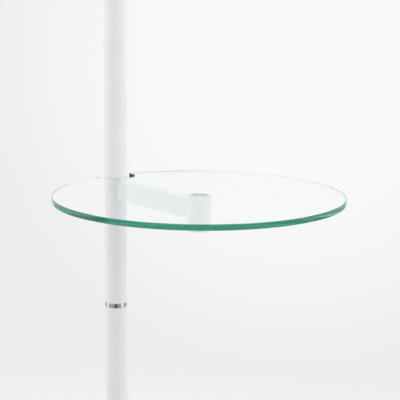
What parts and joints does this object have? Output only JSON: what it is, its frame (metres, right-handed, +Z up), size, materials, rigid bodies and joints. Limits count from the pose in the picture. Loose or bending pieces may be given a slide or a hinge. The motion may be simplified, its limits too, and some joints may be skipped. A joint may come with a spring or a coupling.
{
  "type": "floor lamp with table",
  "caption": "White floor lamp on a round weighted base, with a round clear glass table beside its pole and a fabric shade.",
  "frame": {"origin": "on the floor under the middle of the base, on the axis of the pole", "axes": "+Z up along the pole, +X from the pole towards the middle of the glass table"},
  "size_m": [0.4794, 0.37, 1.4999],
  "materials": {
    "white_paint": "smooth satin powder coat",
    "chrome": "polished plate",
    "clear_glass": "clear float glass, green at the polished edge",
    "satin_metal": "satin",
    "zinc_steel": "zinc plated",
    "cast_weight": "rough cast, black paint",
    "black_foam": "fine foam",
    "white_rubber": "matt",
    "clear_vinyl": "translucent",
    "white_plastic": "moulded",
    "ceramic": "glazed",
    "brass": "bright",
    "nickel": "nickel plated",
    "black_insulator": "glassy",
    "bulb_plastic": "smooth",
    "bulb_opal": "opal",
    "board_metal": "white mask",
    "lead_sheath": "smooth",
    "white_wire": "gloss coat",
    "shade_fabric": "plain weave on a stiff backing"
  },
  "bodies": {
    "lamp": {"base_cover": "white_paint", "base_nut": "zinc_steel", "base_pad": "black_foam", "base_pipe": "zinc_steel", "base_washer": "zinc_steel", "base_weight": "cast_weight", "bottom_plate": "zinc_steel", "bulb_board": "board_metal", "bulb_cap": "nickel", "bulb_globe": "bulb_opal", "bulb_housing": "bulb_plastic", "bulb_insulator": "black_insulator", "bulb_tip": "brass", "centre_contact": "brass", "cord_grommet": "white_rubber", "foot_bush": "zinc_steel", "glass_gasket": "clear_vinyl", "glass_stud": "satin_metal", "glass_top": "clear_glass", "holder_cap": "white_plastic", "holder_core": "ceramic", "holder_pipe": "zinc_steel", "holder_screws": "zinc_steel", "holder_shell": "white_plastic", "inner_lead": "lead_sheath", "lower_joint_ring": "chrome", "lower_joint_socket": "zinc_steel", "lower_joint_spigot": "zinc_steel", "lower_tube": "white_paint", "middle_tube": "white_paint", "plate_screws": "zinc_steel", "shade_carrier": "white_wire", "shade_cover": "shade_fabric", "shade_lower_ring": "white_wire", "shade_nut": "white_plastic", "shade_upper_ring": "white_wire", "spindle_collar": "brass", "stud_nut": "zinc_steel", "stud_washer": "zinc_steel", "switch_block": "white_plastic", "table_arm": "white_paint", "table_boss": "white_paint", "terminal_block": "white_plastic", "terminal_screws": "zinc_steel", "thread_sleeve": "brass", "upper_joint_ring": "chrome", "upper_joint_socket": "zinc_steel", "upper_joint_spigot": "zinc_steel", "upper_tube": "white_paint", "upper_tube_cap": "white_paint"},
    "knob": {"switch_spindle": "brass", "switch_knob": "white_plastic"}
  },
  "joints": [
    {"name": "knob_turn", "type": "hinge", "parent": "lamp", "child": "knob", "pos_m": [0, -0.0256, 1.3049], "axis": [0, -1, 0], "continuous": true}
  ]
}
